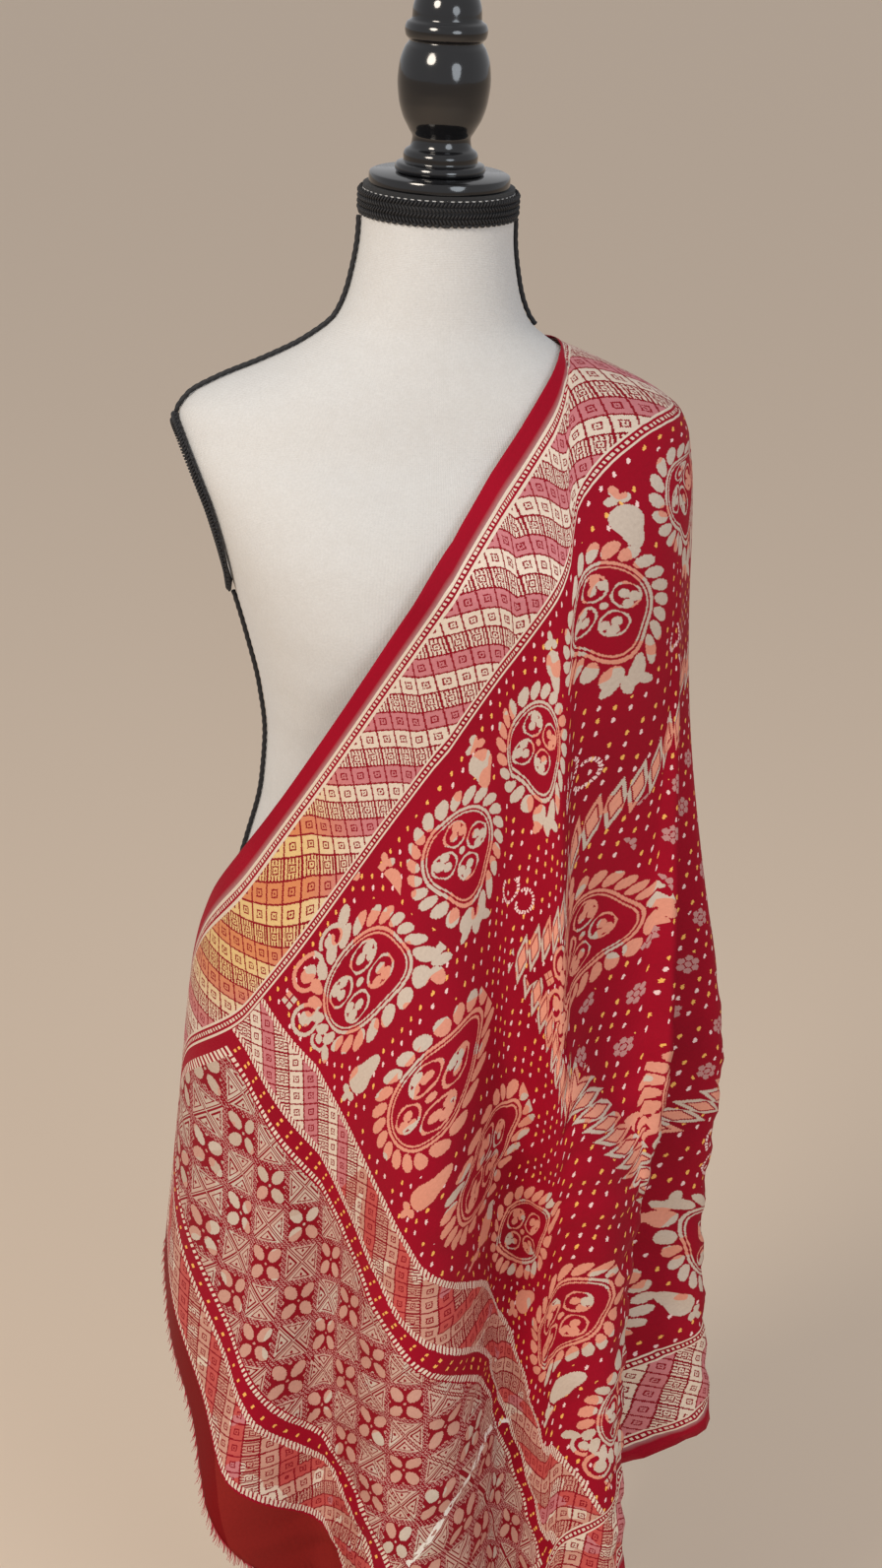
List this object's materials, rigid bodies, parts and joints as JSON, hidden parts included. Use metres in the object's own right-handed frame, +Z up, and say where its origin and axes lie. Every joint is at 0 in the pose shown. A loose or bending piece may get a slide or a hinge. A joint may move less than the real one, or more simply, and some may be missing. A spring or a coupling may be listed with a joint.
{
  "type": "bandhani shawl on a dress form",
  "caption": "Long tie-dyed georgette shawl with woven metallic borders and short frayed ends, draped over one shoulder of a headless dress form on a round stand.",
  "frame": {"origin": "centre of the stand's base on the floor", "axes": "+Z up along the pole, -Y is the front of the form, +X is the shoulder that carries the cloth"},
  "size_m": [0.4898, 0.4816, 1.6996],
  "materials": {
    "georgette": "sheer crepe weave with woven metallic borders",
    "fringe": "frayed threads",
    "linen": "matt plain weave",
    "braid": "woven braid",
    "lacquer": "gloss black lacquer",
    "paint": "semi-gloss black"
  },
  "bodies": {
    "root": {"cloth": "georgette", "front_fringe": "fringe", "back_fringe": "fringe", "torso": "linen", "neck_braid": "braid", "armhole_braid": "braid", "side_cord": "braid", "left_shoulder_cord": "braid", "right_shoulder_cord": "braid", "neck_disc": "lacquer", "knob": "lacquer", "collar": "paint", "pole": "paint", "base": "paint"}
  },
  "joints": []
}
